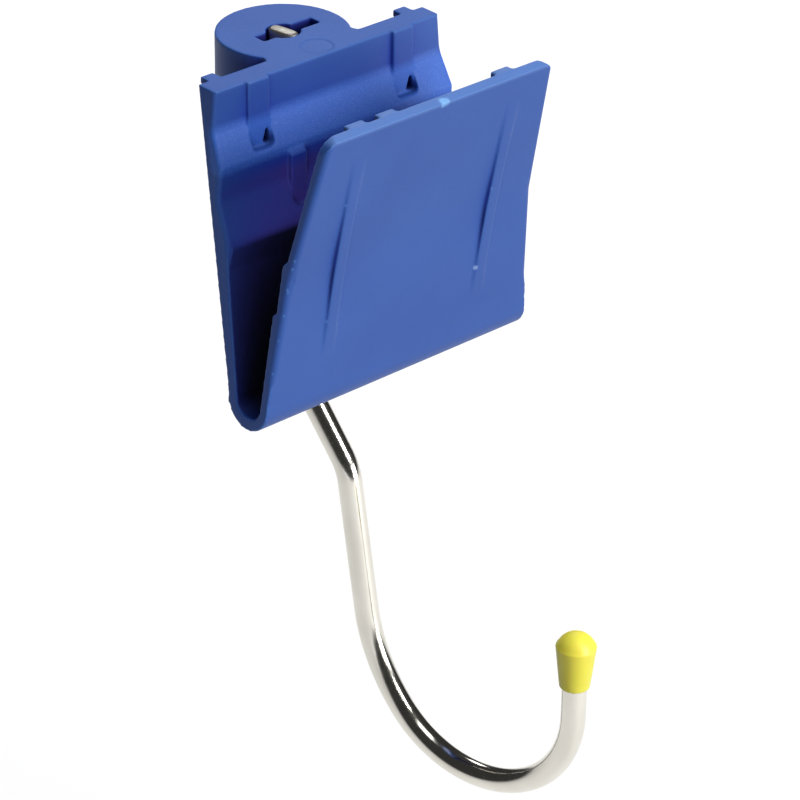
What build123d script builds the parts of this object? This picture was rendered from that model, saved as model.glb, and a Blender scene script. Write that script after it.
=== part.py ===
from build123d import *
import math
import os

# Clip-on hook: a V-shaped spring clip with a round boss behind it, and a rod hook that swivels in the boss.
# Millimetres. Origin on the boss axis at the boss's top face, -Y to the front leaf, +Z up.

# clip, common to both walls
top_half_width = 27.55
flare_per_mm = 0.096
bend_bottom_z = -61.6
bend_radius = 5.4
bend_centre_y = -28.1
bend_wall = 2.6
bend_inner_front_y = -31.8
bend_inner_back_y = -25.6
blank_half_width = 40.0
trim_top_z = 4.0
trim_foot_z = -70.0
trim_depth = 60.0

# rear wall, ridge and noses: y to the front is negative
rear_back_top_y = -8.4
rear_back_slope = 0.249
ridge_front_y = -13.3
ridge_break_z = -7.6
ridge_break_radius = 5.0
nose1_y = -16.35
nose1_z = -14.1
nose1_under_z = -15.5
nose_radius = 0.5
recess_y = -16.2
recess_bottom_z = -20.6
recess_radius = 4.0
nose2_y = -19.6
nose2_z = -27.3
nose2_under_y = -20.0
nose2_under_z = -28.6
wall_front_y = -20.2
wall_front_top_z = -32.6

# core pads: flat planes that stand proud of the ridge and of the recess, and the pockets they end in
upper_pad_x = 17.8
upper_pad_width = 5.2
upper_pad_y = -14.15
upper_pad_height = 10.5
upper_pad_bottom_z = -13.3
upper_pad_corner = 0.9
lower_pad_x = 10.5
lower_pad_width = 3.8
lower_pad_y = -16.95
lower_pad_top_z = -15.4
lower_pad_back_z = -14.55
lower_pad_foot_z = -24.0
lower_pad_bottom_z = -25.9
lower_pad_corner = 1.5
pad_root = 1.5
pocket_height = 6.5
pocket_reach = 6.0

# small lips on the back edge of the rear wall
lip_x = 23.6
lip_width = 3.0
lip_reach = 2.4
lip_height = 1.5

# boss
boss_radius = 12.9
boss_length = 42.0
web_width = 9.0
web_root = 0.6
web_top_z = -1.0
web_foot_z = -48.0
web_corner_y = -9.9
bore_radius = 2.56
head_recess_radius = 3.3
head_recess_depth = 3.4
slot_length = 13.8
slot_width = 2.8
slot_x = 1.0
foot_recess_radius = 8.6
foot_recess_depth = 12.0
foot_tube_radius = 5.2

# living hinge stand-in between the bend and the front leaf
hinge_y = -33.2
hinge_z = -54.6
knuckle_radius = 0.92
hinge_gap = 0.28

# front leaf
leaf_top_z = 0.7
leaf_top_y = -44.7
leaf_knee_y = -36.95
leaf_knee_z = -28.6
leaf_foot_y = -33.75
leaf_thickness = 2.0
leaf_top_thickness = 2.3
leaf_corner = 3.7
tooth_depth = 0.85
tooth_ramp = 1.1
tooth1_z = -26.0
tooth2_z = -36.6
tab_places = (-18.8, -11.5, 16.9)
tab_width = 4.3
tab_root = 0.5
tab_reach = 1.7
tab_height = 2.0
rib_x = 18.85
rib_width = 2.7
rib_height = 1.25
rib_root = 0.5
rib_top_z = -1.0
rib_foot_z = -52.0

# hook rod
rod_radius = 2.5
hook_yaw = 10.0
head_length = 6.1
head_width = 2.9
head_top_z = 0.1
head_clearance = 0.06
stem_top_z = -2.2
drop_to_bend_z = -62.6
upper_bend_radius = 12.0
upper_bend_angle = 35.5
slant_length = 21.4
lower_bend_angle = 26.5
shank_length = 28.0
sweep_radius = 40.0
sweep_angle = 32.4
crook_radius = 23.7
tip_z = -109.6

# end cap
cap_radius = 4.02
cap_mouth_radius = 3.05
cap_lip_radius = 0.4
cap_rim_z = -117.15
cap_shoulder_z = -107.9
cap_shoulder_radius = 0.5
cap_crown_radius = 4.1
cap_crown_z = -109.25
cap_crown_start = 26.0
cap_tip_gap = 0.02

os.makedirs("parts", exist_ok=True)


def rear_back_y(z):
    """Back face of the rear wall, which leans forward as it goes down."""
    return rear_back_top_y + rear_back_slope * z


def half_width(z):
    """Half the clip's width, which grows steadily downwards."""
    return top_half_width - flare_per_mm * z


def leaf_outer_y(z):
    """Front face of the leaf, which leans out more above its knee."""
    if z > leaf_knee_z:
        share = (z - leaf_knee_z) / (leaf_top_z - leaf_knee_z)
        return leaf_knee_y + share * (leaf_top_y - leaf_knee_y)
    share = (z - hinge_z) / (leaf_knee_z - hinge_z)
    return leaf_foot_y + share * (leaf_knee_y - leaf_foot_y)


def on_circle(centre, radius, degrees):
    """Point on a circle, measured from its local x axis."""
    angle = math.radians(degrees)
    return (centre[0] + radius * math.cos(angle), centre[1] + radius * math.sin(angle))


bend_centre_z = bend_bottom_z + bend_radius
land_z = hinge_z - knuckle_radius - hinge_gap

# the trapezium that trims both walls at their two ends
flare_outline = [
    (-half_width(trim_top_z), trim_top_z),
    (half_width(trim_top_z), trim_top_z),
    (half_width(trim_foot_z), trim_foot_z),
    (-half_width(trim_foot_z), trim_foot_z),
]

# ---------------------------------------------------------------- clip body
with BuildPart() as clip_body:
    with BuildSketch(Plane.YZ):
        with BuildLine():
            back = Line((rear_back_top_y, 0), (bend_centre_y + bend_radius, bend_centre_z))
            outer = ThreePointArc(
                back @ 1,
                (bend_centre_y, bend_bottom_z),
                (bend_centre_y - bend_radius, bend_centre_z),
            )
            land = Polyline(
                outer @ 1,
                (leaf_foot_y, land_z),
                (hinge_y + knuckle_radius, land_z),
                (bend_inner_front_y, bend_centre_z),
            )
            inner = ThreePointArc(
                land @ 1,
                (bend_centre_y, bend_bottom_z + bend_wall),
                (bend_inner_back_y, bend_centre_z),
            )
            Polyline(
                inner @ 1,
                (wall_front_y, wall_front_top_z),
                (nose2_under_y, nose2_under_z),
                (nose2_y, nose2_z),
                (recess_y, recess_bottom_z),
                (recess_y, nose1_under_z),
                (nose1_y, nose1_z),
                (ridge_front_y, ridge_break_z),
                (ridge_front_y, 0),
                back @ 0,
            )
        make_face()
    extrude(amount=blank_half_width, both=True)
    for y, z, radius in (
        (ridge_front_y, ridge_break_z, ridge_break_radius),
        (nose1_y, nose1_z, nose_radius),
        (recess_y, recess_bottom_z, recess_radius),
    ):
        edge = clip_body.edges().filter_by(Axis.X).sort_by_distance((0, y, z))[0]
        fillet(edge, radius=radius)

    # upper core pads: proud of the ridge, each ending in a square pocket in the slope
    with BuildSketch(Plane.XZ.offset(-upper_pad_y)):
        with Locations((-upper_pad_x, 0), (upper_pad_x, 0)):
            Rectangle(upper_pad_width, upper_pad_height, align=(Align.CENTER, Align.MAX))
    extrude(amount=-pad_root)
    with BuildSketch(Plane.XZ.offset(-upper_pad_y)) as upper_pockets:
        with Locations((-upper_pad_x, upper_pad_bottom_z), (upper_pad_x, upper_pad_bottom_z)):
            Rectangle(upper_pad_width, pocket_height, align=(Align.CENTER, Align.MIN))
        fillet(upper_pockets.vertices().group_by(Axis.Y)[0], radius=upper_pad_corner)
    extrude(amount=pocket_reach, mode=Mode.SUBTRACT)

    # lower core pads: proud of the recess, with a sloping top and a pocket in the second slope
    for side in (-1, 1):
        with BuildSketch(Plane.YZ.offset(side * lower_pad_x)):
            Polygon(
                (recess_y, lower_pad_back_z),
                (lower_pad_y, lower_pad_top_z),
                (lower_pad_y, lower_pad_foot_z),
                (lower_pad_y + pad_root, lower_pad_foot_z),
                (lower_pad_y + pad_root, lower_pad_back_z),
                align=None,
            )
        extrude(amount=lower_pad_width / 2, both=True)
    with BuildSketch(Plane.XZ.offset(-lower_pad_y)) as lower_pockets:
        with Locations((-lower_pad_x, lower_pad_bottom_z), (lower_pad_x, lower_pad_bottom_z)):
            Rectangle(lower_pad_width, pocket_height, align=(Align.CENTER, Align.MIN))
        fillet(lower_pockets.vertices().group_by(Axis.Y)[0], radius=lower_pad_corner)
    extrude(amount=pocket_reach, mode=Mode.SUBTRACT)

    # flared ends
    with BuildSketch(Plane.XZ):
        Polygon(*flare_outline, align=None)
    extrude(amount=trim_depth, mode=Mode.INTERSECT)

    # lips at the back edge
    with BuildSketch():
        with Locations((-lip_x, rear_back_top_y), (lip_x, rear_back_top_y)):
            Rectangle(lip_width, 2 * lip_reach)
    extrude(amount=-lip_height)

    # boss, its web to the leaning wall, and the cored foot of the boss
    with BuildSketch():
        Circle(boss_radius)
    extrude(amount=-boss_length)
    with BuildSketch(Plane.YZ):
        Polygon(
            (0, web_top_z),
            (rear_back_y(web_top_z) - web_root, web_top_z),
            (rear_back_y(web_foot_z) - web_root, web_foot_z),
            (web_corner_y, -boss_length),
            (0, -boss_length),
            align=None,
        )
    extrude(amount=web_width / 2, both=True)
    with BuildSketch(Plane.XY.offset(-boss_length)):
        Circle(foot_recess_radius)
        Circle(foot_tube_radius, mode=Mode.SUBTRACT)
    extrude(amount=foot_recess_depth, mode=Mode.SUBTRACT)

    # bore for the rod, recess for its flattened head, and the slot across the recess
    with BuildSketch():
        Circle(bore_radius)
    extrude(amount=-boss_length, mode=Mode.SUBTRACT)
    with BuildSketch():
        Circle(head_recess_radius)
        with Locations((slot_x, 0)):
            Rectangle(slot_length, slot_width)
    extrude(amount=-head_recess_depth, mode=Mode.SUBTRACT)
clip_body.part.label = "clip_body"

# --------------------------------------------------------------- front leaf
tilt = math.atan2(leaf_knee_y - leaf_top_y, leaf_top_z - leaf_knee_z)
top_in_y = leaf_top_y + leaf_top_thickness * math.cos(tilt)
top_in_z = leaf_top_z + leaf_top_thickness * math.sin(tilt)
with BuildPart() as front_leaf:
    with BuildSketch(Plane.YZ):
        with BuildLine():
            outer = Polyline(
                (leaf_foot_y, hinge_z),
                (leaf_knee_y, leaf_knee_z),
                (leaf_top_y, leaf_top_z),
                (top_in_y, top_in_z),
                (leaf_outer_y(tooth1_z + tooth_ramp) + leaf_thickness, tooth1_z + tooth_ramp),
                (leaf_outer_y(tooth1_z) + leaf_thickness + tooth_depth, tooth1_z),
                (leaf_outer_y(tooth2_z + tooth_ramp) + leaf_thickness, tooth2_z + tooth_ramp),
                (leaf_outer_y(tooth2_z) + leaf_thickness + tooth_depth, tooth2_z),
                (hinge_y + knuckle_radius, hinge_z),
            )
            ThreePointArc(
                outer @ 1,
                (hinge_y, hinge_z - knuckle_radius),
                outer @ 0,
            )
        make_face()
    extrude(amount=blank_half_width, both=True)

    # raised ribs that bridge the knee and run out to nothing at both ends
    for side in (-1, 1):
        with BuildSketch(Plane.YZ.offset(side * rib_x)):
            with BuildLine():
                crest = ThreePointArc(
                    (leaf_outer_y(rib_foot_z), rib_foot_z),
                    (leaf_outer_y(leaf_knee_z) - rib_height, leaf_knee_z),
                    (leaf_outer_y(rib_top_z), rib_top_z),
                )
                Polyline(
                    crest @ 1,
                    (leaf_outer_y(rib_top_z) + rib_root, rib_top_z),
                    (leaf_knee_y + rib_root, leaf_knee_z),
                    (leaf_outer_y(rib_foot_z) + rib_root, rib_foot_z),
                    crest @ 0,
                )
            make_face()
        extrude(amount=rib_width / 2, both=True)

    # flared ends and rounded top corners
    with BuildSketch(Plane.XZ):
        Polygon(*flare_outline, align=None)
    extrude(amount=trim_depth, mode=Mode.INTERSECT)
    top_corners = front_leaf.faces().sort_by(Axis.Z)[-1].edges().filter_by(Axis.X, reverse=True)
    fillet(top_corners, radius=leaf_corner)

    # tabs on the inner top edge
    with BuildSketch(Plane.XY.offset(top_in_z)):
        with Locations(*((x, top_in_y - tab_root) for x in tab_places)):
            Rectangle(tab_width, tab_root + tab_reach, align=(Align.CENTER, Align.MIN))
    extrude(amount=-tab_height)
front_leaf.part.label = "front_leaf"

# ----------------------------------------------------------------- hook rod
yaw = math.radians(hook_yaw)
hook_plane = Plane(
    origin=(0, 0, 0),
    x_dir=(math.sin(yaw), -math.cos(yaw), 0),
    z_dir=(-math.cos(yaw), -math.sin(yaw), 0),
)
with BuildPart() as hook_rod:
    with BuildLine(hook_plane) as rod_path:
        stem = Line((0, stem_top_z), (0, drop_to_bend_z))
        bend1 = JernArc(stem @ 1, stem % 1, upper_bend_radius, upper_bend_angle)
        slant = Line(bend1 @ 1, bend1 @ 1 + (bend1 % 1) * slant_length)
        bend2 = JernArc(slant @ 1, slant % 1, upper_bend_radius, -lower_bend_angle)
        shank = Line(bend2 @ 1, bend2 @ 1 + (bend2 % 1) * shank_length)
        crook_in = JernArc(shank @ 1, shank % 1, sweep_radius, sweep_angle)
        turned = upper_bend_angle - lower_bend_angle + sweep_angle
        crook = JernArc(crook_in @ 1, crook_in % 1, crook_radius, 180 - turned)
        tip = Line(crook @ 1, crook @ 1 + Vector(0, 0, tip_z - (crook @ 1).Z))
    with BuildSketch(Plane(origin=stem @ 0, z_dir=(0, 0, -1))):
        Circle(rod_radius)
    sweep(path=rod_path.wires()[0])

    # staked head: the rod's end squeezed flat, wider than the bore
    with BuildSketch(Plane.XY.offset(head_top_z)):
        with Locations(Rotation(0, 0, hook_yaw - 90)):
            SlotOverall(head_length, head_width)
    extrude(amount=-(head_recess_depth + head_top_z - head_clearance))
hook_rod.part.label = "hook_rod"

tip_point = tip @ 1

# ------------------------------------------------------------------ end cap
crown_centre = (0, cap_crown_z)
cap_axis = Axis((tip_point.X, tip_point.Y, 0), (0, 0, 1))
cap_plane = Plane(origin=(tip_point.X, tip_point.Y, 0), x_dir=(1, 0, 0), z_dir=(0, -1, 0))
with BuildPart() as end_cap:
    with BuildSketch(cap_plane):
        with BuildLine():
            rim = Line((0, cap_rim_z), (cap_mouth_radius - cap_lip_radius, cap_rim_z))
            lip = RadiusArc(rim @ 1, (cap_mouth_radius, cap_rim_z + cap_lip_radius), -cap_lip_radius)
            flank = Polyline(
                lip @ 1,
                (cap_radius, cap_shoulder_z),
                on_circle(crown_centre, cap_crown_radius, cap_crown_start),
            )
            crown = ThreePointArc(
                flank @ 1,
                on_circle(crown_centre, cap_crown_radius, (cap_crown_start + 90) / 2),
                on_circle(crown_centre, cap_crown_radius, 90),
            )
            Line(crown @ 1, rim @ 0)
        make_face()
    revolve(axis=cap_axis)
    shoulder = end_cap.edges().group_by(SortBy.LENGTH)[-1]
    fillet(shoulder, radius=cap_shoulder_radius)
    with BuildSketch(Plane(origin=(tip_point.X, tip_point.Y, cap_rim_z), z_dir=(0, 0, 1))):
        Circle(rod_radius)
    extrude(amount=tip_z - cap_rim_z + cap_tip_gap, mode=Mode.SUBTRACT)
end_cap.part.label = "end_cap"

for solid in (clip_body, front_leaf, hook_rod, end_cap):
    export_step(solid.part, "parts/" + solid.part.label + ".step")
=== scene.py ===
import math

import bmesh
import bpy
import numpy as np
from mathutils import Matrix, Vector


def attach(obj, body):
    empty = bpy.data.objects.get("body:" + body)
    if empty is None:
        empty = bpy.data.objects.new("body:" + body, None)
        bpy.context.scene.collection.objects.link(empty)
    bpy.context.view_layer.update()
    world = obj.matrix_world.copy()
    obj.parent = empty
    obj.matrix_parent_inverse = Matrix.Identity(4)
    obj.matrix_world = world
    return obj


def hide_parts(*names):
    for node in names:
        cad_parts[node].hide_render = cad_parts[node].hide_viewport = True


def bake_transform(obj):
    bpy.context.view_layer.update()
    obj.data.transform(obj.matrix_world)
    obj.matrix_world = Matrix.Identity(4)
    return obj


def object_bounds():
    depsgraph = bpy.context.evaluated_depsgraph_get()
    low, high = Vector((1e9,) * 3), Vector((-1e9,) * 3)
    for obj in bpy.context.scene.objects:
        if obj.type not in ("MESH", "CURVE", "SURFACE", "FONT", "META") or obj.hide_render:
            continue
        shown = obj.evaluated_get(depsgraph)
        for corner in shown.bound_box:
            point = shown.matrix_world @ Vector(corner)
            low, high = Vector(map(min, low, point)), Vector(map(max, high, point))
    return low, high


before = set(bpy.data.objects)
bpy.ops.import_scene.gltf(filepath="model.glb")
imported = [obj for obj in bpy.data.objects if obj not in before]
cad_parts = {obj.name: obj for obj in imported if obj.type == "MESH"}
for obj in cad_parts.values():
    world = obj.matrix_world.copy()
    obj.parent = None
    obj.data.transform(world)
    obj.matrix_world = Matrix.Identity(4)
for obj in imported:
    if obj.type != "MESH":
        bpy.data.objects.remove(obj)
cad_low, cad_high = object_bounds()

# Lengths in the shape sections are millimetres in the frame of the part: origin on the boss axis at the
# boss's top face, -Y to the front leaf, +Z up. Meshes are scaled to metres as they are made.
MM = 0.001

# walls of the clip
TOP_HALF_WIDTH = 27.55
FLARE_PER_MM = 0.096
REAR_BACK_TOP_Y = -8.4
REAR_BACK_SLOPE = 0.249
RIDGE_FRONT_Y = -13.3
RIDGE_BREAK_Z = -7.6
RIDGE_BREAK_RADIUS = 6.0
NOSE1 = (-16.35, -14.1)
NOSE1_UNDER_Z = -15.5
RECESS = (-16.2, -20.6)
RECESS_RADIUS = 4.0
NOSE2 = (-19.6, -27.3)
NOSE2_UNDER = (-20.0, -28.6)
NOSE_RADIUS = 0.5
WALL_FRONT = (-20.2, -32.6)
WALL_FRONT_RADIUS = 6.0
BEND_CENTRE = (-28.1, -56.2)
BEND_RADIUS = 5.4
BEND_INNER_RADIUS = 2.9
BEND_INNER_SHIFT = 0.4
BACK_FOOT_SHIFT = 0.2
BACK_FOOT_RADIUS = 20.0
LEAF_FOOT = (-33.75, -54.6)
LEAF_FOOT_RADIUS = 10.0
LEAF_KNEE = (-36.95, -28.6)
LEAF_KNEE_RADIUS = 80.0
LEAF_TOP = (-44.7, 0.7)
LEAF_THICKNESS = 2.0
LEAF_TOP_THICKNESS = 2.3
LEAF_CORNER = 3.7
TOOTH_DEPTH = 0.85
TOOTH_RAMP = 1.1
TOOTH_TOPS = (-26.0, -36.6)
TAB_PLACES = (-18.8, -11.5, 16.9)
TAB_WIDTH = 4.3
TAB_ROOT = 0.5
TAB_REACH = 1.7
TAB_HEIGHT = 2.0
RIB_X = 18.85
RIB_WIDTH = 2.7
RIB_HEIGHT = 1.25
RIB_ENDS = (-52.0, -1.0)
RIB_ROOT = 0.5
RIB_RUN_OUT = -0.2
EDGE_VOXEL = 0.22
EDGE_SMOOTHING = 12
WALL_END_RADIUS = 0.9
BACK_END_RADIUS = 0.5
LEAF_END_RADIUS = 1.2
END_FADE = 6.0
LEAST_END_RADIUS = 0.01
EJECTOR_CENTRE = (0.2, -9.4)
EJECTOR_RADIUS = 3.3
EJECTOR_EDGE = 0.4
EJECTOR_DEPTH = 0.12

# core pads as (distance from the middle, width, face y, top z, foot z, corner radius)
UPPER_PAD = (17.8, 5.2, -14.15, 0.0, -13.3, 0.9)
LOWER_PAD = (10.9, 3.8, -17.5, -15.8, -25.9, 1.5)
PAD_ROOT = 1.5
PAD_FOOT_INSET = 2.2
PAD_TOP_RISE = 1.25
POCKET_HEIGHT = 6.5
POCKET_REACH = 6.0
POCKET_NOTCH = [(0.9, -12.9), (2.5, -13.1), (1.9, -9.2)]
NOTCH_DEPTH = 2.2
LIP_X = 23.6
LIP_WIDTH = 3.0
LIP_REACH = 2.4
LIP_HEIGHT = 1.5

# boss
BOSS_RADIUS = 12.9
BOSS_LENGTH = 42.0
WEB_WIDTH = 9.0
WEB_ROOT = 0.6
WEB_ENDS = (-48.0, -1.0)
WEB_CORNER_Y = -9.9
BORE_RADIUS = 2.56
HEAD_RECESS_RADIUS = 3.3
HEAD_RECESS_DEPTH = 3.4
SLOT_ENDS = (-5.9, 7.9)
SLOT_WIDTH = 2.8
FOOT_RADII = (8.6, 5.2)
FOOT_DEPTH = 12.0
BOSS_FILLET = [(-1.5, -0.5), (1.6, -0.5), (1.5, 0.0), (1.0, 1.3), (-1.5, 1.3)]
BEYOND = 1.0

# hook
HOOK_YAW = math.radians(10.0)
ROD_RADIUS = 2.5
STEM_TOP_Z = -2.2
STEM_FOOT_Z = -62.6
TIP_Z = -109.6
HOOK_RUNS = (
    ("arc", 12.0, 35.5),
    ("line", 21.4, 0),
    ("arc", 12.0, -26.5),
    ("line", 28.0, 0),
    ("arc", 40.0, 32.4),
    ("arc", 23.87, 138.6),
)
HEAD_SIZE = (6.1, 2.9)
HEAD_TOP_Z = 0.1
SHARP_FROM = 50

# end cap
CAP_RADIUS = 4.02
CAP_MOUTH_RADIUS = 3.05
CAP_LIP_RADIUS = 0.4
CAP_RIM_Z = -117.15
CAP_SHOULDER_Z = -107.9
CAP_SHOULDER_RADIUS = 0.5
CAP_CROWN_RADIUS = 4.1
CAP_CROWN_Z = -109.25
CAP_CROWN_START = 26
CAP_POLE_RADIUS = 0.05


# front of the rear wall from its lower nose up to the ridge's top, as (point, radius) corners
UPPER_WALL = [
    (NOSE2, NOSE_RADIUS),
    (RECESS, RECESS_RADIUS),
    ((RECESS[0], NOSE1_UNDER_Z), 0),
    (NOSE1, NOSE_RADIUS),
    ((RIDGE_FRONT_Y, RIDGE_BREAK_Z), RIDGE_BREAK_RADIUS),
    ((RIDGE_FRONT_Y, 0.0), 0),
]


def half_width(z):
    """Half the clip's width, which grows steadily downwards."""
    return TOP_HALF_WIDTH - FLARE_PER_MM * z


def rear_back_y(z):
    """Back face of the rear wall, which leans forward as it goes down."""
    return REAR_BACK_TOP_Y + REAR_BACK_SLOPE * z


def leaf_outer_y(z):
    """Front face of the leaf, which leans out more above its knee."""
    low, high = (LEAF_KNEE, LEAF_TOP) if z > LEAF_KNEE[1] else (LEAF_FOOT, LEAF_KNEE)
    share = (z - low[1]) / (high[1] - low[1])
    return low[0] + share * (high[0] - low[0])


def leaf_inner(z, stand_out=0.0):
    """Corner of the side outline on the leaf's inner face."""
    return (leaf_outer_y(z) + LEAF_THICKNESS + stand_out, z)


def arc(centre, radius, start, stop, steps=16):
    """Points on a circle, with angles in degrees from its first axis."""
    angles = np.radians(np.linspace(start, stop, steps + 1))
    return [(centre[0] + radius * math.cos(a), centre[1] + radius * math.sin(a)) for a in angles]


def rounded(corners, steps=8):
    """Closed outline through (point, radius) corners, each drawn as an arc of its radius."""
    points = []
    for i, (corner, radius) in enumerate(corners):
        here = np.array(corner)
        if not radius:
            points.append(tuple(here))
            continue
        before = np.array(corners[i - 1][0]) - here
        after = np.array(corners[(i + 1) % len(corners)][0]) - here
        before, after = before / np.linalg.norm(before), after / np.linalg.norm(after)
        half = math.acos(np.clip(before @ after, -1, 1)) / 2
        inward = (before + after) / np.linalg.norm(before + after)
        centre = here + inward * radius / math.sin(half)
        ends = [here + way * radius / math.tan(half) - centre for way in (before, after)]
        start, stop = (math.degrees(math.atan2(end[1], end[0])) for end in ends)
        turn = (stop - start + 180) % 360 - 180
        points += arc(centre, radius, start, start + turn, steps)
    return points


def new_object(name, mesh):
    obj = bpy.data.objects.new(name, mesh)
    bpy.context.scene.collection.objects.link(obj)
    return obj


def mesh_from(name, verts, faces):
    mesh = bpy.data.meshes.new(name)
    mesh.from_pydata([tuple(c * MM for c in v) for v in verts], [], faces)
    mesh.update()
    bm = bmesh.new()
    bm.from_mesh(mesh)
    bmesh.ops.recalc_face_normals(bm, faces=bm.faces)
    bm.to_mesh(mesh)
    bm.free()
    return mesh


def loft(name, rings):
    """Closed solid through rings of points, with a face across each end."""
    count = len(rings[0])
    verts = [v for ring in rings for v in ring]
    faces = [tuple(range(count)), tuple(range(len(verts) - count, len(verts)))]
    for row in range(0, len(verts) - count, count):
        for i in range(count):
            j = (i + 1) % count
            faces.append((row + i, row + j, row + count + j, row + count + i))
    return new_object(name, mesh_from(name, verts, faces))


def flared_prism(name, outline):
    """Closed solid with a side outline in (y, z), as wide as the clip is at each height."""
    return loft(name, [[(side * half_width(z), y, z) for y, z in outline] for side in (-1, 1)])


def prism(name, outline, low, high, axis):
    """Closed solid: an outline in the two axes other than axis, drawn from low to high along it."""
    place = {
        "X": lambda a, b, level: (level, a, b),
        "Y": lambda a, b, level: (a, level, b),
        "Z": lambda a, b, level: (a, b, level),
    }[axis]
    return loft(name, [[place(a, b, level) for a, b in outline] for level in (low, high)])


def box(name, x, y, z):
    return prism(name, [(x[0], y[0]), (x[1], y[0]), (x[1], y[1]), (x[0], y[1])], z[0], z[1], "Z")


def disc(name, radius, low, high, steps=128):
    """Upright cylinder on the boss axis."""
    return prism(name, arc((0, 0), radius, 0, 360, steps)[:-1], low, high, "Z")


def combine(target, tools, operation):
    """Adds or cuts each tool, in order, and removes it."""
    for tool in tools:
        modifier = target.modifiers.new("join", "BOOLEAN")
        modifier.operation = operation
        modifier.solver = "EXACT"
        modifier.object = tool
        bpy.context.view_layer.objects.active = target
        bpy.ops.object.modifier_apply(modifier=modifier.name)
        bpy.data.objects.remove(tool)


# ------------------------------------------------------------------ clip moulding
def leaf_top_inner():
    """Inner top edge of the leaf, square to its leaning front face."""
    tilt = math.atan2(LEAF_KNEE[0] - LEAF_TOP[0], LEAF_TOP[1] - LEAF_KNEE[1])
    across = LEAF_TOP_THICKNESS * np.array([math.cos(tilt), math.sin(tilt)])
    return tuple(np.array(LEAF_TOP) + across)


def wall_outline():
    """Side outline of the rear wall, the bend and the front leaf in one loop."""
    bend_y, bend_z = BEND_CENTRE
    bend_low = bend_z - BEND_RADIUS
    inner_low = bend_z - BEND_INNER_RADIUS
    first, second = TOOTH_TOPS
    return rounded([
        ((REAR_BACK_TOP_Y, 0.0), 0),
        ((rear_back_y(bend_z) - BACK_FOOT_SHIFT, bend_z), BACK_FOOT_RADIUS),
        ((bend_y + BEND_RADIUS, bend_low), BEND_RADIUS),
        ((bend_y - BEND_RADIUS, bend_low), BEND_RADIUS),
        (LEAF_FOOT, LEAF_FOOT_RADIUS),
        (LEAF_KNEE, LEAF_KNEE_RADIUS),
        (LEAF_TOP, 0),
        (leaf_top_inner(), 0),
        (leaf_inner(first + TOOTH_RAMP), 0),
        (leaf_inner(first, TOOTH_DEPTH), 0),
        (leaf_inner(second + TOOTH_RAMP), 0),
        (leaf_inner(second, TOOTH_DEPTH), 0),
        ((bend_y - BEND_INNER_RADIUS - BEND_INNER_SHIFT, inner_low), BEND_INNER_RADIUS),
        ((bend_y + BEND_INNER_RADIUS - BEND_INNER_SHIFT, inner_low), BEND_INNER_RADIUS),
        (WALL_FRONT, WALL_FRONT_RADIUS),
        (NOSE2_UNDER, 0),
        *UPPER_WALL,
    ])


def leaf_corner_cutters():
    """The two blocks outside the leaf's rounded top corners."""
    cutters = []
    top = leaf_top_inner()[1]
    low = top - 5 * LEAF_CORNER
    away = LEAF_CORNER + BEYOND
    corner = rounded([
        ((0, top), 0),
        ((half_width(top), top), LEAF_CORNER),
        ((half_width(low), low), 0),
    ])[1:-1]
    far = half_width(top) + away
    block = corner + [(far, corner[-1][1]), (far, top + away), (corner[0][0], top + away)]
    for side in (-1, 1):
        outline = [(side * x, z) for x, z in block]
        cutters.append(prism("corner", outline, LEAF_TOP[0] - away, LEAF_TOP[0] + away, "Y"))
    return cutters


def pads():
    """Flat core pads that stand proud of the ridge and of the recess, and the pockets they end in."""
    added, cut = [], []
    for centre, width, face_y, top, foot, corner in (UPPER_PAD, LOWER_PAD):
        foot_z = foot + PAD_FOOT_INSET
        root_y = face_y + PAD_ROOT
        outline = [(face_y, top), (face_y, foot_z), (root_y, foot_z), (root_y, top)]
        if top < 0:
            outline[-1:] = [(root_y, top + PAD_TOP_RISE), (RECESS[0], top + PAD_TOP_RISE)]
        for side in (-1, 1):
            low, high = side * centre - width / 2, side * centre + width / 2
            added.append(prism("pad", outline, low, high, "X"))
            pocket = rounded([
                ((low, foot), corner),
                ((high, foot), corner),
                ((high, foot + POCKET_HEIGHT), 0),
                ((low, foot + POCKET_HEIGHT), 0),
            ])
            cut.append(prism("pocket", pocket, face_y - POCKET_REACH, face_y, "Y"))
    for side in (-1, 1):
        notch = [(side * UPPER_PAD[0] + x, z) for x, z in POCKET_NOTCH]
        cut.append(prism("notch", notch, UPPER_PAD[2] - 1, UPPER_PAD[2] + NOTCH_DEPTH, "Y"))
    return added, cut


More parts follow.
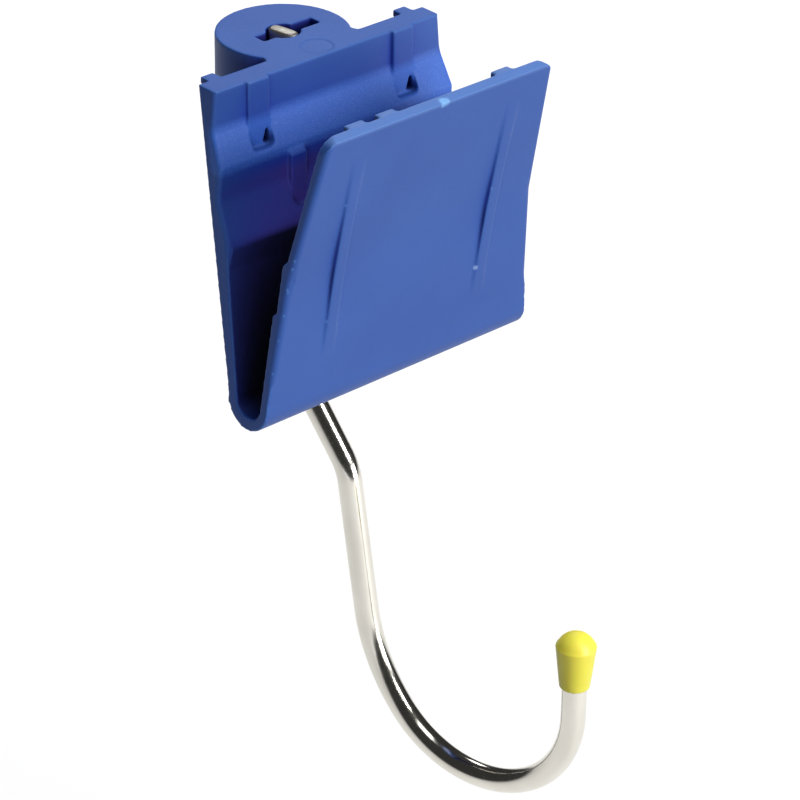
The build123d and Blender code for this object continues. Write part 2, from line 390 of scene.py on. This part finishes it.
def boss_parts():
    """Boss, web and lips to add; bore, recess, slot and hollow foot to cut."""
    added = [disc("boss", BOSS_RADIUS, -BOSS_LENGTH, 0.0, 160)]
    low, high = WEB_ENDS
    web = [(rear_back_y(high) - WEB_ROOT, high), (rear_back_y(low) - WEB_ROOT, low)]
    web += [(WEB_CORNER_Y, -BOSS_LENGTH), (0, -BOSS_LENGTH), (0, high)]
    added.append(prism("web", web, -WEB_WIDTH / 2, WEB_WIDTH / 2, "X"))
    # small fillets where the boss meets the back of the wall
    meeting = math.sqrt(BOSS_RADIUS ** 2 - REAR_BACK_TOP_Y ** 2)
    for side in (-1, 1):
        fillet = [(side * (meeting + x), REAR_BACK_TOP_Y + y) for x, y in BOSS_FILLET]
        added.append(prism("fillet", fillet, -LIP_HEIGHT - 2, 0.0, "Z"))
    for x in (-LIP_X, LIP_X):
        wide = (x - LIP_WIDTH / 2, x + LIP_WIDTH / 2)
        deep = (REAR_BACK_TOP_Y - LIP_REACH, REAR_BACK_TOP_Y + LIP_REACH)
        added.append(box("lip", wide, deep, (-LIP_HEIGHT, 0.0)))
    foot_top = FOOT_DEPTH - BOSS_LENGTH
    hollow = disc("hollow", FOOT_RADII[0], -BOSS_LENGTH - BEYOND, foot_top)
    tube = disc("tube", FOOT_RADII[1], -BOSS_LENGTH - 2 * BEYOND, foot_top + BEYOND)
    combine(hollow, [tube], "DIFFERENCE")
    cut = [
        disc("recess", HEAD_RECESS_RADIUS, -HEAD_RECESS_DEPTH, BEYOND, 64),
        box("slot", SLOT_ENDS, (-SLOT_WIDTH / 2, SLOT_WIDTH / 2), (-HEAD_RECESS_DEPTH, BEYOND)),
        disc("bore", BORE_RADIUS, -BOSS_LENGTH - BEYOND, BEYOND, 64),
        hollow,
    ]
    return added, cut


def leaf_details():
    """Tabs on the leaf's inner top edge, and raised ribs that bridge its knee."""
    y, z = leaf_top_inner()
    added = []
    for x in TAB_PLACES:
        wide = (x - TAB_WIDTH / 2, x + TAB_WIDTH / 2)
        added.append(box("tab", wide, (y - TAB_ROOT, y + TAB_REACH), (z - TAB_HEIGHT, z)))
    low, high = RIB_ENDS
    knee = LEAF_KNEE[1]
    heights = np.concatenate([np.linspace(low, knee, 9), np.linspace(knee, high, 9)[1:]])
    rise = np.interp(heights, (low, knee, high), (RIB_RUN_OUT, RIB_HEIGHT, RIB_RUN_OUT))
    crest = [(leaf_outer_y(h) - r, h) for h, r in zip(heights, rise)]
    root = [(leaf_outer_y(h) + RIB_ROOT, h) for h in (high, knee, low)]
    for x in (-RIB_X, RIB_X):
        added.append(prism("rib", crest + root, x - RIB_WIDTH / 2, x + RIB_WIDTH / 2, "X"))
    return added, []


def smooth_step(value):
    value = np.clip(value, 0, 1)
    return value * value * (3 - 2 * value)


def round_end_edges(co, face_y, radius, facing):
    """Rounds the long edges where the surface at face_y meets the clip's two flared ends.

    The surface faces the front where facing is 1 and the back where it is -1.
    """
    x, y, z = co.T
    inward = half_width(z) - np.abs(x) - radius
    behind = facing * (y - face_y) - radius
    reach = np.hypot(inward, behind)
    corner = (inward < 0) & (behind < 0) & (behind > -1.6 * radius)
    scale = np.where(corner, radius / np.maximum(reach, 1e-6), 1.0)
    scale = np.minimum(scale, 1.0)
    co[:, 0] = np.sign(x) * (half_width(z) - radius - inward * scale)
    co[:, 1] = face_y + facing * (radius + behind * scale)


def round_clip_ends(co):
    """Softer ends on both faces of the rear wall and on the front face of the leaf."""
    arc_points = 9
    wall = [(z, y) for y, z in rounded(UPPER_WALL)[arc_points:]]
    wall = sorted(wall + [(-90.0, -33.4), WALL_FRONT[::-1], NOSE2[::-1]])
    back = [(z, rear_back_y(z)) for z in (-60.0, 2.0)]
    leaf = [LEAF_FOOT[::-1], LEAF_KNEE[::-1], LEAF_TOP[::-1]]
    for outline, radius, low, high, facing in (
        (wall, WALL_END_RADIUS, -34.0, 1.0, 1),
        (back, BACK_END_RADIUS, -51.0, 1.0, -1),
        (leaf, LEAF_END_RADIUS, -54.0, 3.0, 1),
    ):
        heights, places = np.array(outline).T
        face_y = np.interp(co[:, 2], heights, places)
        near = (co[:, 2] > low) & (co[:, 2] < high) & (np.abs(co[:, 1] - face_y) < 3 * radius)
        part = co[near]
        fade = smooth_step((part[:, 2] - low) / END_FADE)
        round_end_edges(part, face_y[near], radius * fade + LEAST_END_RADIUS, facing)
        co[near] = part


def ejector_mark(co):
    """Faint round ejector mark on the top face between the boss and the ridge."""
    distance = np.hypot(co[:, 0] - EJECTOR_CENTRE[0], co[:, 1] - EJECTOR_CENTRE[1])
    sunk = smooth_step((EJECTOR_RADIUS - distance) / EJECTOR_EDGE) * EJECTOR_DEPTH
    at_top_face = np.abs(co[:, 2]) < 0.3
    co[:, 2] -= np.where(at_top_face, sunk, 0)


def read_vertices(mesh):
    co = np.empty(len(mesh.vertices) * 3)
    mesh.vertices.foreach_get("co", co)
    return co.reshape(-1, 3) / MM


def write_vertices(mesh, co):
    mesh.vertices.foreach_set("co", (co * MM).ravel())
    mesh.update()


def make_clip():
    clip = flared_prism("clip_moulding", wall_outline())
    combine(clip, leaf_corner_cutters(), "DIFFERENCE")
    for added, cut in (pads(), boss_parts(), leaf_details()):
        combine(clip, added, "UNION")
        combine(clip, cut, "DIFFERENCE")
    remesh = clip.modifiers.new("even mesh", "REMESH")
    remesh.mode = "VOXEL"
    remesh.voxel_size = EDGE_VOXEL * MM
    soften = clip.modifiers.new("moulded edges", "SMOOTH")
    soften.factor = 0.5
    soften.iterations = EDGE_SMOOTHING
    for modifier in (remesh, soften):
        bpy.ops.object.modifier_apply(modifier=modifier.name)
    co = read_vertices(clip.data)
    round_clip_ends(co)
    ejector_mark(co)
    write_vertices(clip.data, co)
    clip.data.shade_smooth()
    return clip


# --------------------------------------------------------------------------- hook
def hook_path():
    """Centreline of the rod as (distance along the hook's plane, height) points.

    HOOK_RUNS holds (kind, radius or length, turn in degrees) from the stem's foot to the crook's end.
    """
    points = [np.array([0.0, STEM_TOP_Z]), np.array([0.0, STEM_FOOT_Z])]
    heading = 0.0
    for kind, size, turn in HOOK_RUNS:
        start = points[-1]
        if kind == "line":
            points.append(start + size * np.array([math.sin(heading), -math.cos(heading)]))
            continue
        sign = math.copysign(1, turn)
        across = np.array([math.cos(heading), math.sin(heading)])
        centre = start + sign * size * across
        steps = max(8, int(abs(turn) / 2))
        for angle in np.radians(turn) * np.arange(1, steps + 1) / steps:
            now = heading + angle
            points.append(centre - sign * size * np.array([math.cos(now), math.sin(now)]))
        heading += math.radians(turn)
    points.append(np.array([points[-1][0], TIP_Z]))
    return points


def in_hook_plane(distance, height, aside=0.0):
    """Point of the part's frame at a distance out along the hook's plane, with an offset square to it."""
    out = Vector((math.sin(HOOK_YAW), -math.cos(HOOK_YAW), 0))
    side = Vector((math.cos(HOOK_YAW), math.sin(HOOK_YAW), 0))
    return out * distance + side * aside + Vector((0, 0, height))


def head_ring(level, share, inset, angles):
    """Ring between the round rod, at share 0, and its flattened head, at share 1."""
    length, width = HEAD_SIZE
    ring = []
    for angle in angles:
        c, s = math.cos(angle), math.sin(angle)
        flat_c = math.copysign(abs(c) ** 0.62, c) * (length / 2 - inset)
        flat_s = math.copysign(abs(s) ** 0.5, s) * (width / 2 - inset)
        along = (1 - share) * ROD_RADIUS * c + share * flat_c
        aside = (1 - share) * ROD_RADIUS * s + share * flat_s
        ring.append(in_hook_plane(along, level, aside))
    return ring


def make_rod(around=64):
    angles = np.arange(around) * 2 * math.pi / around
    rings = [
        head_ring(HEAD_TOP_Z, 1.0, 0.45, angles),
        head_ring(HEAD_TOP_Z - 0.07, 1.0, 0.2, angles),
        head_ring(HEAD_TOP_Z - 0.25, 1.0, 0.0, angles),
        head_ring(-1.0, 1.0, 0.0, angles),
        head_ring(-1.4, 0.8, 0.0, angles),
        head_ring(-1.9, 0.35, 0.0, angles),
        head_ring(STEM_TOP_Z, 0.0, 0.0, angles),
    ]
    path = hook_path()
    for i, point in enumerate(path[1:], 1):
        before, after = path[i - 1], path[min(i + 1, len(path) - 1)]
        if i == 1:
            after = point + (point - before)
        run = (after - before) / np.linalg.norm(after - before)
        normal = np.array([-run[1], run[0]])
        ring = []
        for angle in angles:
            p = point + normal * ROD_RADIUS * math.cos(angle)
            ring.append(in_hook_plane(p[0], p[1], ROD_RADIUS * math.sin(angle)))
        rings.append(ring)
    rod = loft("hook_wire", rings)
    rod.data.shade_smooth()
    rod.data.set_sharp_from_angle(angle=math.radians(SHARP_FROM))
    return rod


def cap_profile():
    """Half outline of the cap as (radius, height), and its pole: lip, flaring skirt, shoulder, dome."""
    lip_centre = (CAP_MOUTH_RADIUS - CAP_LIP_RADIUS, CAP_RIM_Z + CAP_LIP_RADIUS)
    lip = arc(lip_centre, CAP_LIP_RADIUS, -90, 0, 6)
    crown = arc((0, CAP_CROWN_Z), CAP_CROWN_RADIUS, CAP_CROWN_START, 90, 16)
    corners = [(point, 0) for point in [(ROD_RADIUS, CAP_RIM_Z), *lip]]
    corners.append(((CAP_RADIUS, CAP_SHOULDER_Z), CAP_SHOULDER_RADIUS))
    corners += [(point, 0) for point in crown[:-1]]
    return rounded(corners), crown[-1]


def make_cap(around=72):
    """Dipped vinyl cap that grips the rod's tip."""
    end = in_hook_plane(hook_path()[-1][0], 0)
    profile, (_, apex_z) = cap_profile()
    angles = np.arange(around) * 2 * math.pi / around
    rings = []
    for radius, z in profile:
        rings.append([(end.x + radius * math.cos(a), end.y + radius * math.sin(a), z) for a in angles])
    rings.append([
        (end.x + CAP_POLE_RADIUS * math.cos(a), end.y + CAP_POLE_RADIUS * math.sin(a), apex_z)
        for a in angles
    ])
    cap = loft("tip_cap", rings)
    cap.data.shade_smooth()
    cap.data.set_sharp_from_angle(angle=math.radians(SHARP_FROM))
    return cap


# ---------------------------------------------------------------------- materials
BLUE = (0.032, 0.088, 0.335)
BLUE_LIGHTER = (0.036, 0.101, 0.368)
# painted light and shade: the shaded blue is painted shade, the grained and sparkle blues are painted
# light and glints, the edge and rim blues are painted highlights
BLUE_SHADED = (0.010, 0.028, 0.320)
BLUE_SLOPE_PAINTED_LIGHT = (0.045, 0.136, 0.54)
BLUE_PAINTED_GLINT = (0.10, 0.23, 0.68)
BLUE_EDGE_HIGHLIGHT = (0.10, 0.25, 0.62)
BLUE_RIM_HIGHLIGHT = (0.12, 0.23, 0.53)
BLUE_SCUFFED = (0.22, 0.46, 0.80)
BLUE_NICKED = (0.35, 0.50, 0.80)
# painted shade for the recess under the ridge, the V and tight corners
RECESS_PAINTED_SHADE = (0.075, 0.055, 0.30)
CAVITY_PAINTED_SHADE = (0.003, 0.0035, 0.007)
CORNER_PAINTED_SHADE = (0.006, 0.008, 0.070)
SCUFF_PLACE = (0.3, -44.3, 0.9)
NICK_PLACE = (17.6, -35.3, -42.0)


class Nodes:
    """Short way to build a material's nodes."""

    def __init__(self, name):
        self.material = bpy.data.materials.new(name)
        self.material.use_nodes = True
        self.tree = self.material.node_tree
        self.shader = self.tree.nodes["Principled BSDF"]
        self.coords = self.add("ShaderNodeTexCoord").outputs["Object"]

    def add(self, kind, **values):
        node = self.tree.nodes.new(kind)
        for key, value in values.items():
            setattr(node, key, value)
        return node

    def link(self, source, target):
        self.tree.links.new(source, target)

    def noise(self, scale, detail=2.0, stretch=None):
        node = self.add("ShaderNodeTexNoise")
        node.inputs["Scale"].default_value = scale
        node.inputs["Detail"].default_value = detail
        source = self.coords
        if stretch:
            mapping = self.add("ShaderNodeMapping")
            mapping.inputs["Scale"].default_value = stretch
            self.link(source, mapping.inputs["Vector"])
            source = mapping.outputs["Vector"]
        self.link(source, node.inputs["Vector"])
        return node.outputs["Fac"]

    def ramp(self, source, stops):
        node = self.add("ShaderNodeValToRGB")
        ramp = node.color_ramp
        while len(ramp.elements) < len(stops):
            ramp.elements.new(0.5)
        for element, (position, colour) in zip(ramp.elements, stops):
            element.position = position
            element.color = (*colour, 1)
        self.link(source, node.inputs["Fac"])
        return node.outputs["Color"]

    def spread(self, source, low, high, start=0.0, stop=1.0):
        node = self.add("ShaderNodeMapRange")
        node.inputs["From Min"].default_value = start
        node.inputs["From Max"].default_value = stop
        node.inputs["To Min"].default_value = low
        node.inputs["To Max"].default_value = high
        self.link(source, node.inputs["Value"])
        return node.outputs["Result"]

    def maths(self, operation, first, second):
        node = self.add("ShaderNodeMath", operation=operation)
        for socket, value in zip(node.inputs, (first, second)):
            if isinstance(value, (int, float)):
                socket.default_value = value
            else:
                self.link(value, socket)
        return node.outputs["Value"]

    def distance_from(self, place):
        """Distance in millimetres from a place in the part's frame."""
        node = self.add("ShaderNodeVectorMath", operation="DISTANCE")
        node.inputs[1].default_value = [c * MM for c in place]
        self.link(self.coords, node.inputs[0])
        return self.maths("MULTIPLY", node.outputs["Value"], 1 / MM)

    def occlusion(self, distance):
        """How open the surface is to its surroundings: 1 in the open, towards 0 in a hollow."""
        node = self.add("ShaderNodeAmbientOcclusion", samples=12)
        node.inputs["Distance"].default_value = distance
        return node.outputs["AO"]

    def mix(self, share, first, second):
        """Colour that goes from the first to the second as share goes from 0 to 1."""
        node = self.add("ShaderNodeMix", data_type="RGBA")
        self.link(share, node.inputs[0])
        self.link(first, node.inputs[6])
        if isinstance(second, tuple):
            node.inputs[7].default_value = (*second, 1)
        else:
            self.link(second, node.inputs[7])
        return node.outputs[2]

    def bump(self, source, strength, distance):
        node = self.add("ShaderNodeBump")
        node.inputs["Strength"].default_value = strength
        node.inputs["Distance"].default_value = distance
        self.link(source, node.inputs["Height"])
        self.link(node.outputs["Normal"], self.shader.inputs["Normal"])


def blue_plastic():
    m = Nodes("moulded_blue_plastic")
    axes = m.add("ShaderNodeSeparateXYZ")
    m.link(m.coords, axes.inputs["Vector"])
    depth, height = axes.outputs["Y"], axes.outputs["Z"]
    openness = m.occlusion(0.030)
    ahead_of_back = m.maths("SUBTRACT", m.maths("MULTIPLY", height, REAR_BACK_SLOPE), depth)
    inside = m.spread(ahead_of_back, 0.0, 1.0, 0.0095, 0.0105)
    flow = m.noise(45.0, 2.0)
    speckle = m.noise(3600.0, 2.0)
    tone = m.ramp(flow, [(0.3, BLUE), (0.7, BLUE_LIGHTER)])
    # painted shade: the blue turns deeper and darker where nearby walls hem the surface in
    tone = m.mix(m.spread(openness, 1.0, 0.0, 0.50, 0.88), tone, BLUE_SHADED)

    # grained slope under the ridge: the bump is the real grain, the lighter tone is painted light and the
    # sparkle is painted glints
    on_rear_wall = m.maths("MULTIPLY", inside, m.spread(depth, 0.0, 1.0, -0.027, -0.023))
    below_ridge = m.spread(height, 1.0, 0.0, -0.0085, -0.0065)
    above_recess = m.spread(height, 0.15, 1.0, -0.0160, -0.0148)
    grain_and_painted_light_zone = m.maths("MULTIPLY", m.maths("MULTIPLY", on_rear_wall, below_ridge), above_recess)
    tone = m.mix(grain_and_painted_light_zone, tone, BLUE_SLOPE_PAINTED_LIGHT)
    painted_glint = m.maths("MULTIPLY", m.spread(speckle, 0.0, 0.55, 0.5, 0.72), grain_and_painted_light_zone)
    tone = m.mix(painted_glint, tone, BLUE_PAINTED_GLINT)

    # painted highlights: edges in the open, most of all the leaf's top rim, are painted paler
    sharp = m.spread(m.add("ShaderNodeNewGeometry").outputs["Pointiness"], 0.0, 0.5, 0.512, 0.56)
    edge_highlight = m.maths("MULTIPLY", sharp, m.spread(openness, 0.0, 1.0, 0.65, 0.95))
    tone = m.mix(edge_highlight, tone, BLUE_EDGE_HIGHLIGHT)
    on_leaf = m.spread(depth, 1.0, 0.0, -0.0400, -0.0390)
    rim_highlight = m.maths("MULTIPLY", on_leaf, m.spread(height, 0.0, 0.6, -0.0002, 0.0006))
    tone = m.mix(rim_highlight, tone, BLUE_RIM_HIGHLIGHT)

    # handling marks: a scuff on the leaf's top edge and a nick beside a rib
    near_scuff = m.spread(m.distance_from(SCUFF_PLACE), 1.0, 0.0, 0.5, 2.2)
    scuff = m.spread(m.maths("MULTIPLY", m.noise(900.0, 3.0), near_scuff), 0.0, 0.75, 0.25, 0.45)
    tone = m.mix(scuff, tone, BLUE_SCUFFED)
    nick = m.spread(m.distance_from(NICK_PLACE), 0.7, 0.0, 0.3, 0.7)
    tone = m.mix(nick, tone, BLUE_NICKED)

    # painted shade: hollows are painted from purple under the ridge to near black in the V, and tight
    # corners are painted darker
    recess_painted_shade = m.spread(height, 1.0, 0.0, -0.0185, -0.0160)
    recess_painted_shade = m.maths("MULTIPLY", recess_painted_shade, m.spread(openness, 1.0, 0.0, 0.30, 0.75))
    recess_painted_shade = m.maths("MULTIPLY", recess_painted_shade, on_rear_wall)
    tone = m.mix(recess_painted_shade, tone, RECESS_PAINTED_SHADE)
    cavity_painted_shade = m.spread(height, 1.0, 0.0, -0.0292, -0.0278)
    cavity_painted_shade = m.maths("MULTIPLY", cavity_painted_shade, m.spread(openness, 1.0, 0.0, 0.35, 0.80))
    cavity_painted_shade = m.maths("MULTIPLY", cavity_painted_shade, inside)
    tone = m.mix(cavity_painted_shade, tone, CAVITY_PAINTED_SHADE)
    tone = m.mix(m.spread(m.occlusion(0.005), 0.85, 0.0, 0.30, 0.70), tone, CORNER_PAINTED_SHADE)
    m.link(tone, m.shader.inputs["Base Color"])

    m.link(m.spread(m.noise(1200.0, 2.0), 0.42, 0.55), m.shader.inputs["Roughness"])
    m.shader.inputs["Specular IOR Level"].default_value = 0.30
    fine = m.maths("MULTIPLY", m.noise(3200.0, 3.0), 0.3)
    coarse = m.maths("MULTIPLY", speckle, grain_and_painted_light_zone)
    m.bump(m.maths("ADD", fine, coarse), 0.35, 0.0001)
    return m.material


def nickel_plate():
    m = Nodes("nickel_plated_steel")
    tone = m.noise(120.0, 3.0)
    colour = m.ramp(tone, [(0.3, (0.66, 0.635, 0.570)), (0.7, (0.73, 0.705, 0.640))])
    m.link(colour, m.shader.inputs["Base Color"])
    m.shader.inputs["Metallic"].default_value = 1.0
    axes = m.add("ShaderNodeSeparateXYZ")
    m.link(m.coords, axes.inputs["Vector"])
    on_head = m.spread(axes.outputs["Z"], 0.0, 0.28, -0.004, -0.002)
    drawn = m.spread(m.noise(700.0, 4.0), 0.10, 0.20)
    m.link(m.maths("ADD", drawn, on_head), m.shader.inputs["Roughness"])
    m.bump(m.noise(1500.0, 3.0, (1, 1, 0.15)), 0.08, 0.0001)
    return m.material


def yellow_vinyl():
    m = Nodes("yellow_vinyl")
    tone = m.noise(180.0, 3.0)
    colour = m.ramp(tone, [(0.3, (0.85, 0.78, 0.075)), (0.7, (0.90, 0.83, 0.090))])
    m.link(colour, m.shader.inputs["Base Color"])
    m.link(m.spread(m.noise(900.0, 3.0), 0.34, 0.48), m.shader.inputs["Roughness"])
    m.shader.inputs["Subsurface Weight"].default_value = 0.3
    m.shader.inputs["Subsurface Scale"].default_value = 0.002
    m.bump(m.noise(1400.0, 3.0), 0.12, 0.0002)
    return m.material


def studio_white():
    m = Nodes("studio_white")
    colour = m.ramp(m.noise(2.0), [(0.3, (0.88, 0.88, 0.88)), (0.7, (0.90, 0.90, 0.90))])
    m.link(colour, m.shader.inputs["Base Color"])
    m.shader.inputs["Roughness"].default_value = 0.9
    return m.material


# -------------------------------------------------------------------------- scene
clip = make_clip()
clip.data.materials.append(blue_plastic())
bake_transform(clip)
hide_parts("clip_body", "front_leaf")

rod = make_rod()
rod.data.materials.append(nickel_plate())
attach(rod, "hook")
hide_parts("hook_rod")

cap = make_cap()
cap.data.materials.append(yellow_vinyl())
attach(cap, "hook")
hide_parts("end_cap")

# floor, well below the hanging hook
floor_z = cad_low[2] - 0.12
bpy.ops.mesh.primitive_plane_add(size=30, location=(0, 0, floor_z))
floor = bpy.context.object
floor.name = "floor"
floor.data.materials.append(studio_white())
floor.visible_diffuse = False


def area_light(name, place, target, size, power, colour=(1, 1, 1)):
    data = bpy.data.lights.new(name, "AREA")
    data.shape = "RECTANGLE"
    data.size, data.size_y = size
    data.energy = power
    data.color = colour
    light = bpy.data.objects.new(name, data)
    light.location = place
    light.rotation_euler = (Vector(target) - Vector(place)).to_track_quat("-Z", "Y").to_euler()
    bpy.context.scene.collection.objects.link(light)
    return light


middle = (0.0, -0.03, -0.06)
area_light("front", (0.45, -1.1, -0.05), middle, (0.7, 0.35), 5.4)
area_light("key", (0.25, -0.88, 0.40), middle, (0.32, 0.32), 6.2)
area_light("top", (0.0, -0.50, 0.88), middle, (0.6, 0.4), 2.1)
fill = area_light("fill", (-0.95, -0.75, 0.0), middle, (0.6, 0.6), 4.4, (0.95, 0.95, 1.0))
fill.visible_glossy = False
area_light("back", (0.85, 0.95, 0.70), middle, (0.35, 0.35), 1.5)
wash = area_light("floor_wash", (0.7, 0.8, 1.3), (0.5, 0.55, floor_z), (1.2, 1.2), 30)
wash.visible_glossy = False
world = bpy.data.worlds.new("studio")
world.use_nodes = True
world.node_tree.nodes["Background"].inputs["Color"].default_value = (1, 1, 1, 1)
world.node_tree.nodes["Background"].inputs["Strength"].default_value = 0.04
bpy.context.scene.world = world
bpy.context.scene.view_settings.view_transform = "Standard"

# camera at the photograph's angle
camera_data = bpy.data.cameras.new("camera")
camera_data.sensor_width = 36
camera_data.lens = 161.6
camera_data.clip_end = 100
camera = bpy.data.objects.new("camera", camera_data)
azimuth, elevation, roll = math.radians(-42.49), math.radians(29.52), math.radians(0.84)
distance, aside, below = 673.8, 21.93, 69.36
back = Vector((
    math.sin(azimuth) * math.cos(elevation),
    -math.cos(azimuth) * math.cos(elevation),
    math.sin(elevation),
))
right = Vector((math.cos(azimuth), math.sin(azimuth), 0))
up = back.cross(right)
right, up = (
    math.cos(roll) * right + math.sin(roll) * up,
    -math.sin(roll) * right + math.cos(roll) * up,
)
place = (back * distance + right * aside - up * below) * MM
camera.matrix_world = Matrix((
    (right.x, up.x, back.x, place.x),
    (right.y, up.y, back.y, place.y),
    (right.z, up.z, back.z, place.z),
    (0, 0, 0, 1),
))
bpy.context.scene.collection.objects.link(camera)
bpy.context.scene.camera = camera
